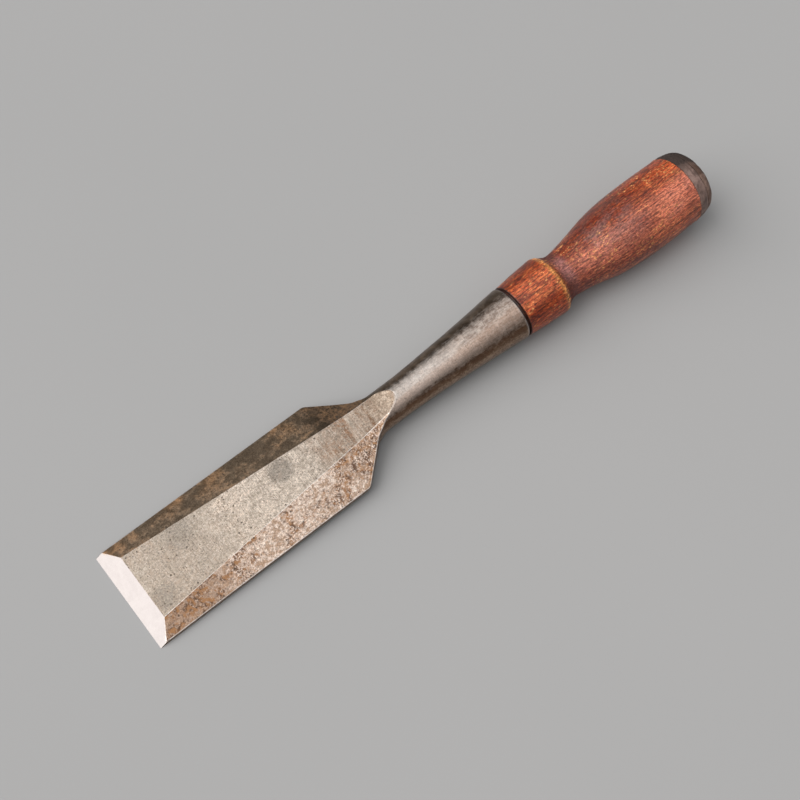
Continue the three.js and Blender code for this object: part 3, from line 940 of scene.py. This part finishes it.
    # Rust gathers in patches on the bevels and thinly elsewhere.
    near_ends = g.add(g.mul(by_neck, 0.07), g.step(x, 0.07, 0.02, 0, 0.015))
    gather = g.step(g.add(g.add(g.mul(patch, 0.45), g.mul(cloud, 0.45)), near_ends), 0.42, 0.51)
    grains = g.step(g.add(g.mul(g.noise(p, 1100, 3, 0.8), 0.5), g.mul(tide, 0.5)), 0.43, 0.53)
    rust = g.mul(g.mul(gather, grains), g.add(g.mul(side, g.blend(left, 0.85, 0.24)), 0.12))
    rust = g.mul(rust, g.invert(g.math("MAXIMUM", honed, g.mul(lapped, back))))
    rust_tone = g.mix(g.step(g.noise(p, 420, 3, 0.6), 0.4, 0.6), (0.13, 0.062, 0.032), (0.40, 0.20, 0.085))
    surface = g.mix(rust, surface, rust_tone)

    # Pits: small dark specks, closer together where rust gathers.
    crowd = g.step(g.add(g.mul(cloud, 0.6), g.mul(patch, 0.4)), 0.40, 0.54, 0.35, 1)
    pits = g.mul(g.math("MAXIMUM", g.mul(dots, 0.8), flecks), crowd)
    pits = g.mul(g.mul(pits, g.add(g.mul(ground, 0.5), 0.4)), g.invert(honed))
    surface = g.mix(pits, surface, (0.07, 0.05, 0.036))

    # Bright metal where the arrises and the rim are worn, with a painted highlight along them, most on the
    # right; and on the honed bevel.
    arris_wear_and_glint = g.mul(arris, g.step(g.add(g.mul(mottle, 0.5), g.mul(cloud, 0.5)), 0.36, 0.56, 0.35, 1.0))
    arris_wear_and_glint = g.mul(arris_wear_and_glint, g.step(y, -0.004, 0.004, 1.0, 0.3))
    surface = g.mix(arris_wear_and_glint, surface, (0.88, 0.84, 0.80))
    surface = g.mix(honed, surface, g.mix(g.step(cloud, 0.3, 0.7), (0.355, 0.326, 0.317), (0.38, 0.35, 0.34)))
    surface = g.mix(g.mul(bore, 0.8), surface, (0.10, 0.07, 0.05))

    rough = g.add(g.mul(g.step(mottle, 0.3, 0.7), -0.08), g.blend(ground, 0.38, 0.42))
    rough = g.blend(rust, rough, 0.8)
    rough = g.blend(arris_wear_and_glint, rough, 0.3)
    rough = g.blend(honed, rough, 0.27)
    metal = g.invert(g.math("MAXIMUM", g.mul(rust, 0.85), g.mul(pits, 0.5)))

    relief = g.add(g.mul(across, 0.35), g.add(g.mul(mottle, 0.35), g.mul(grit, 0.6)))
    relief = g.blend(ground, g.add(g.mul(mottle, 0.9), g.add(g.mul(along, 0.5), g.mul(grit, 0.4))), relief)
    relief = g.math("SUBTRACT", relief, g.mul(pits, 0.7))
    relief = g.add(relief, g.mul(rust, 0.3))
    relief = g.mul(relief, g.invert(g.mul(honed, 0.985)))
    normal = g.bump(relief, 0.00005, 0.6)
    return g.finish(Base_Color=surface, Metallic=metal, Roughness=rough, Normal=normal)


def wood_material():
    g = Graph("worn_red_brown_wood")
    p = g.object_coords
    x, y, z = g.split(p)
    warp = g.noise(g.stretch((7, 70, 70)), 1.0, 2, 0.5)
    layers = g.add(g.add(g.mul(y, 560), g.mul(z, 210)), g.mul(warp, 4.5))
    wave = g.math("PINGPONG", layers, 0.5)
    early = g.step(wave, 0.28, 0.48)
    pores = g.noise(g.stretch((330, 2600, 2600)), 1.0, 3, 0.65)
    fibres = g.noise(g.stretch((70, 1300, 1300)), 1.0, 4, 0.75)
    stain = g.noise(g.stretch((45, 90, 90)), 1.0, 4, 0.6)
    spots = g.noise(g.stretch((480, 800, 800)), 1.0, 4, 0.7)
    shade = g.noise(g.stretch((120, 240, 240)), 1.0, 3, 0.6)
    dashes = g.specks(g.stretch((150, 950, 950)), 1.0, 0.38, 0.7)
    nicks = g.specks(g.stretch((420, 1250, 1250), shift=(3, 1, 2)), 1.0, 0.42, 0.55)
    flecks = g.specks(p, 480, 0.36, 0.30)

    # Lighter and more orange on the collar and towards the struck end, darker between.
    light = g.math("MAXIMUM", g.step(x, 0.2425, 0.2395), g.step(x, 0.283, 0.312))
    light = g.add(g.mul(light, 0.65), g.mul(g.centred(stain), 2.0))
    base = g.mix(g.step(light, -0.1, 0.9), (0.20, 0.028, 0.013), (0.56, 0.105, 0.035))
    orange = g.mul(g.step(fibres, 0.46, 0.62), g.step(light, -0.1, 0.7, 0.42, 0.8))
    base = g.mix(orange, base, (0.76, 0.22, 0.07))
    base = g.mix(g.step(shade, 0.46, 0.66, 0, 0.65), base, (0.11, 0.018, 0.012))
    base = g.mix(g.mul(early, 0.40), base, (0.09, 0.018, 0.010))
    dark = g.mul(g.step(pores, 0.46, 0.58), g.add(g.mul(early, 0.55), 0.2))
    dark = g.math("MAXIMUM", dark, g.mul(dashes, g.add(g.mul(early, 0.4), 0.5)))
    dark = g.math("MAXIMUM", dark, g.mul(nicks, 0.75))
    base = g.mix(dark, base, (0.025, 0.009, 0.007))

    # Gray over the upper front of the belly: the varnish gone gray, and a painted sheen on the upward-facing
    # wood.
    upwards = g.step(g.add(z, g.mul(y, 0.25)), 0.006, 0.014)
    bloom_and_sheen = g.mul(g.mul(g.step(x, 0.254, 0.266), g.step(x, 0.300, 0.284)), upwards)
    bloom_and_sheen = g.mul(bloom_and_sheen, g.step(g.add(g.mul(shade, 0.5), g.mul(spots, 0.5)), 0.42, 0.58))
    base = g.mix(g.mul(bloom_and_sheen, 0.5), base, (0.27, 0.125, 0.105))

    # Painted shade: deeper and redder down the left (+Y) side and under the collar, darker still on the left
    # ahead of the belly; a painted sheen, paler, down the right (-Y) of the belly.
    sideways = g.math("DIVIDE", y, g.math("MAXIMUM", g.length(y, z), MM))
    on_belly = g.step(x, 0.2445, 0.256)
    off_belly = g.invert(on_belly)
    # Painted shade: the sides of the handle darkened and reddened.
    side_shade = g.math("MAXIMUM", g.step(sideways, 0.0, 0.6), g.mul(g.step(sideways, -0.45, -0.85), off_belly))
    base = g.mix(g.mul(side_shade, 0.9), base, (0.62, 0.44, 0.32), "MULTIPLY")
    # Painted shade: the +Y side darkened ahead of the belly.
    plus_y_shade = g.mul(g.step(sideways, 0.1, 0.7, 0, 0.9), off_belly)
    base = g.mix(plus_y_shade, base, (0.68, 0.68, 0.45), "MULTIPLY")
    # Painted sheen: paler, pinkish wood down the -Y side of the belly.
    minus_y_sheen = g.mul(g.step(sideways, 0.05, -0.35), g.step(sideways, -1.0, -0.7))
    sheen_patches = g.add(g.mul(fibres, 0.5), g.mul(stain, 0.5))
    minus_y_sheen = g.mul(g.mul(minus_y_sheen, on_belly), g.step(sheen_patches, 0.38, 0.56, 0.14, 0.40))
    minus_y_sheen = g.mul(minus_y_sheen, g.step(x, 0.295, 0.315, 0.85, 1.6))
    base = g.mix(g.mul(minus_y_sheen, g.invert(g.mul(dark, 0.8))), base, (0.90, 0.32, 0.22))

    # Finish worn through in flecks; painted shade in the waist's cove, with a painted sheen across its
    # middle; and a painted shadow in the gap by the socket.
    worn = g.math("MAXIMUM", g.mul(g.step(spots, 0.56, 0.64), g.step(stain, 0.42, 0.58)), flecks)
    worn = g.mul(worn, g.step(stain, 0.40, 0.54))
    base = g.mix(g.mul(worn, 0.85), base, (0.70, 0.31, 0.11))
    # Painted shade in the waist's cove, lighter across its middle as a painted sheen.
    waist = g.math("ABSOLUTE", g.math("SUBTRACT", x, (WAIST_AT - 2.0) * MM))
    waist_shade_and_sheen = g.mix(side_shade, (0.40, 0.18, 0.165), (0.10, 0.03, 0.026))
    base = g.mix(g.step(waist, 0.0052, 0.001, 0, 0.6), base, waist_shade_and_sheen)
    # Painted shadow: near black in the gap between the socket's rim and the wood.
    base = g.mix(g.step(x, 0.2194, 0.2190, 0, 0.9), base, (0.02, 0.012, 0.01))

    # Bare wood on the tenon and the struck end, and a chipped, paler collar.
    bare = g.mix(g.step(stain, 0.36, 0.62), (0.15, 0.075, 0.038), (0.34, 0.19, 0.10))
    bare = g.mix(g.mul(dark, 0.5), bare, (0.06, 0.03, 0.018))
    base = g.mix(g.step(x, 0.2170, 0.2155), base, bare)
    base = g.mix(g.step(x, 0.3325, 0.3335, 0, 0.75), base, (0.15, 0.072, 0.042))
    teeth = g.noise(g.stretch((160, 900, 900)), 1.0, 3, 0.6)
    collar = g.mul(g.attribute("collar"), g.step(teeth, 0.40, 0.56, 0.25, 1.0))
    base = g.mix(collar, base, (0.76, 0.31, 0.09))
    speckle = g.step(g.noise(g.stretch((620, 1500, 1500)), 1.0, 2, 0.75), 0.36, 0.64, 0.55, 1.42)
    base = g.mix(1.0, base, g.gray(speckle), "MULTIPLY")

    rough = g.add(g.mul(g.step(shade, 0.3, 0.7), 0.14), 0.34)
    rough = g.blend(worn, rough, 0.6)
    rough = g.blend(g.step(waist, 0.006, 0.002), rough, 0.85)
    relief = g.math("SUBTRACT", g.add(g.mul(fibres, 0.5), g.mul(spots, 0.4)), g.mul(dark, 0.9))
    normal = g.bump(relief, 0.00009, 0.6)
    return g.finish(
        Base_Color=base,
        Roughness=rough,
        Normal=normal,
        Specular_IOR_Level=0.38,
        Coat_Weight=0.13,
        Coat_Roughness=0.3,
    )


def leather_material(name, deep, worn_color, worn_low, worn_high):
    g = Graph(name)
    grain = g.cells(g.object_coords, 1500)
    patch = g.noise(g.object_coords, 160, 4, 0.6, 0.5)
    layers = g.noise(g.stretch((1500, 120, 120)), 1.0, 3, 0.6)
    fuzz = g.noise(g.object_coords, 2200, 3, 0.7)
    base = g.mix(g.step(patch, worn_low, worn_high), deep, worn_color)
    _, y, z = g.split(g.object_coords)
    radius = g.length(y, z)
    # Painted shade: near black over the outer part of the +Y side.
    leather_side_shade = g.step(g.add(y, g.mul(g.centred(patch), 0.02)), -0.005, 0.004, 0, 0.92)
    leather_side_shade = g.mul(leather_side_shade, g.step(g.add(radius, g.mul(patch, 0.006)), 0.0125, 0.0185))
    base = g.mix(leather_side_shade, base, (0.020, 0.014, 0.012))
    base = g.mix(g.mul(g.step(layers, 0.5, 0.7), 0.5), base, tuple(c * 0.4 for c in deep))
    base = g.mix(g.mul(g.step(fuzz, 0.55, 0.75), 0.3), base, tuple(min(1, c * 1.7) for c in worn_color))
    height = g.add(g.mul(grain, 0.6), g.add(g.mul(layers, 0.8), g.mul(fuzz, 0.4)))
    normal = g.bump(height, 0.00015, 0.8)
    rough = g.blend(leather_side_shade, g.add(g.mul(patch, 0.25), 0.45), 0.8)
    return g.finish(Base_Color=base, Roughness=rough, Normal=normal, Specular_IOR_Level=0.3)


def floor_material():
    g = Graph("pale_floor")
    tone = g.noise(g.object_coords, 3, 2, 0.5)
    base = g.mix(tone, (0.36, 0.36, 0.36), (0.39, 0.387, 0.387))
    return g.finish(Base_Color=base, Roughness=0.75)


def make_floor():
    mesh = bpy.data.meshes.new("floor")
    half = FLOOR_SIZE / 2
    corners = [(-half, -half, 0), (half, -half, 0), (half, half, 0), (-half, half, 0)]
    mesh.from_pydata(corners, [], [(0, 1, 2, 3)])
    floor = bpy.data.objects.new("floor", mesh)
    bpy.context.scene.collection.objects.link(floor)
    floor.data.materials.append(floor_material())


# ---- The scene ----

make_camera()
make_world()
make_lights()
make_floor()
make_steel(steel_material())
make_handle(wood_material())
make_washers(
    leather_material("dark_leather", (0.125, 0.08, 0.066), (0.30, 0.20, 0.17), 0.32, 0.6),
    leather_material("brown_leather", (0.10, 0.056, 0.040), (0.27, 0.175, 0.14), 0.34, 0.6),
)

bpy.context.view_layer.update()
